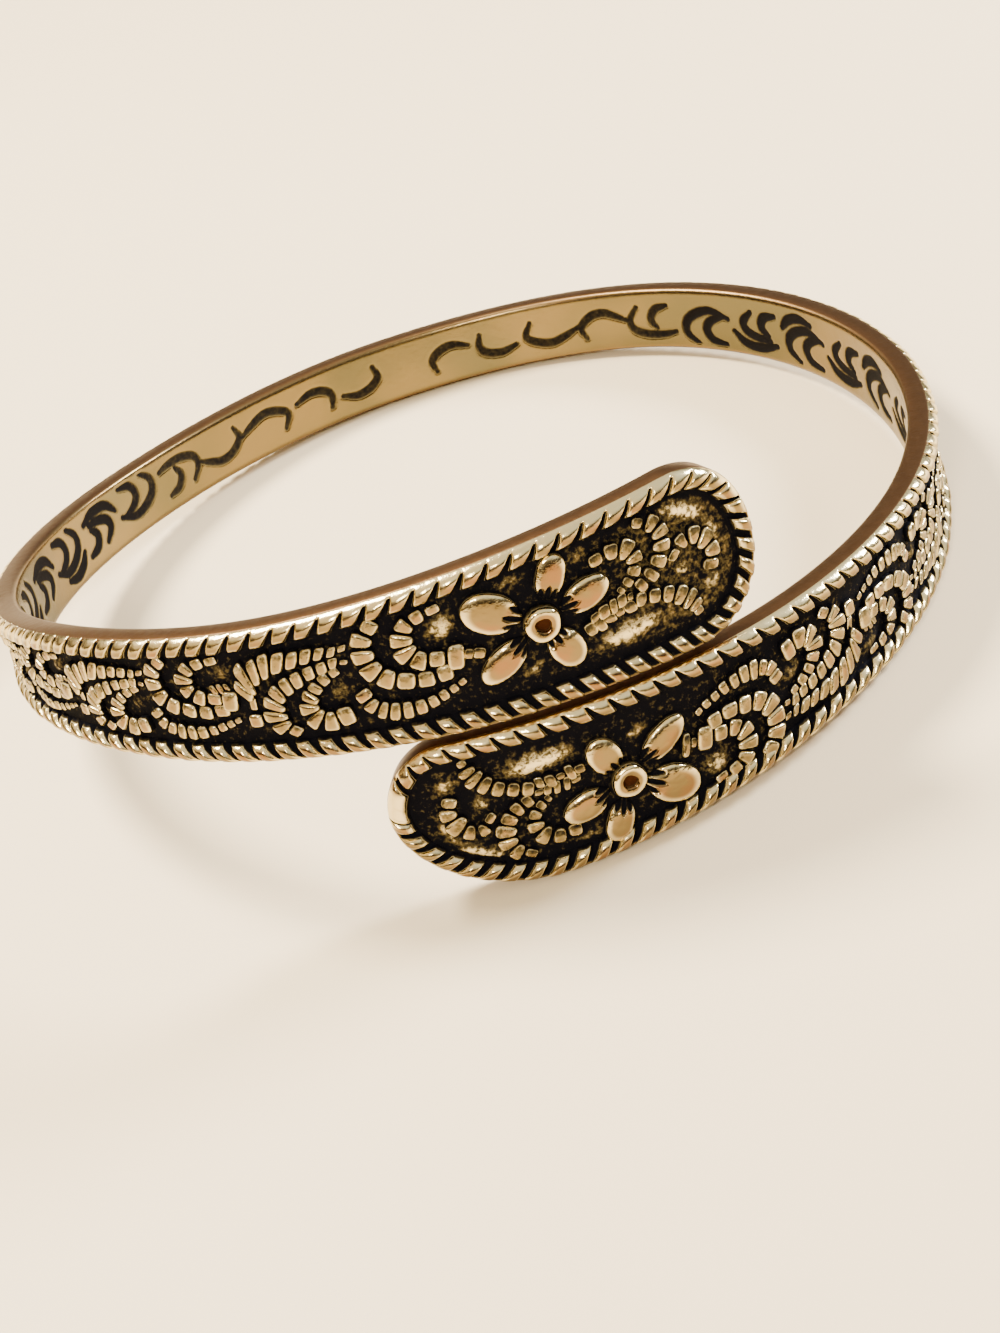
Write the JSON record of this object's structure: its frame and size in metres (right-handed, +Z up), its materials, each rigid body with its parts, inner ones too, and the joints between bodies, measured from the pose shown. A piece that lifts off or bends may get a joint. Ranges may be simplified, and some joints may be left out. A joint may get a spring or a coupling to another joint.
{
  "type": "cuff bracelet",
  "caption": "Open wrap cuff bracelet: a springy oval brass band whose wide rounded ends pass each other, with a rope border, flowers and scrolls in relief.",
  "frame": {"origin": "centre of the bounding box on the surface that the cuff rests on", "axes": "+Z up from the resting surface, +Y from the open front towards the back of the band, +X to the right seen from the front"},
  "size_m": [0.0626, 0.0594, 0.0208],
  "materials": {
    "cast_brass": "polished warm champagne brass with blackened recesses"
  },
  "bodies": {
    "root": {"cuff": "cast_brass"}
  },
  "joints": []
}
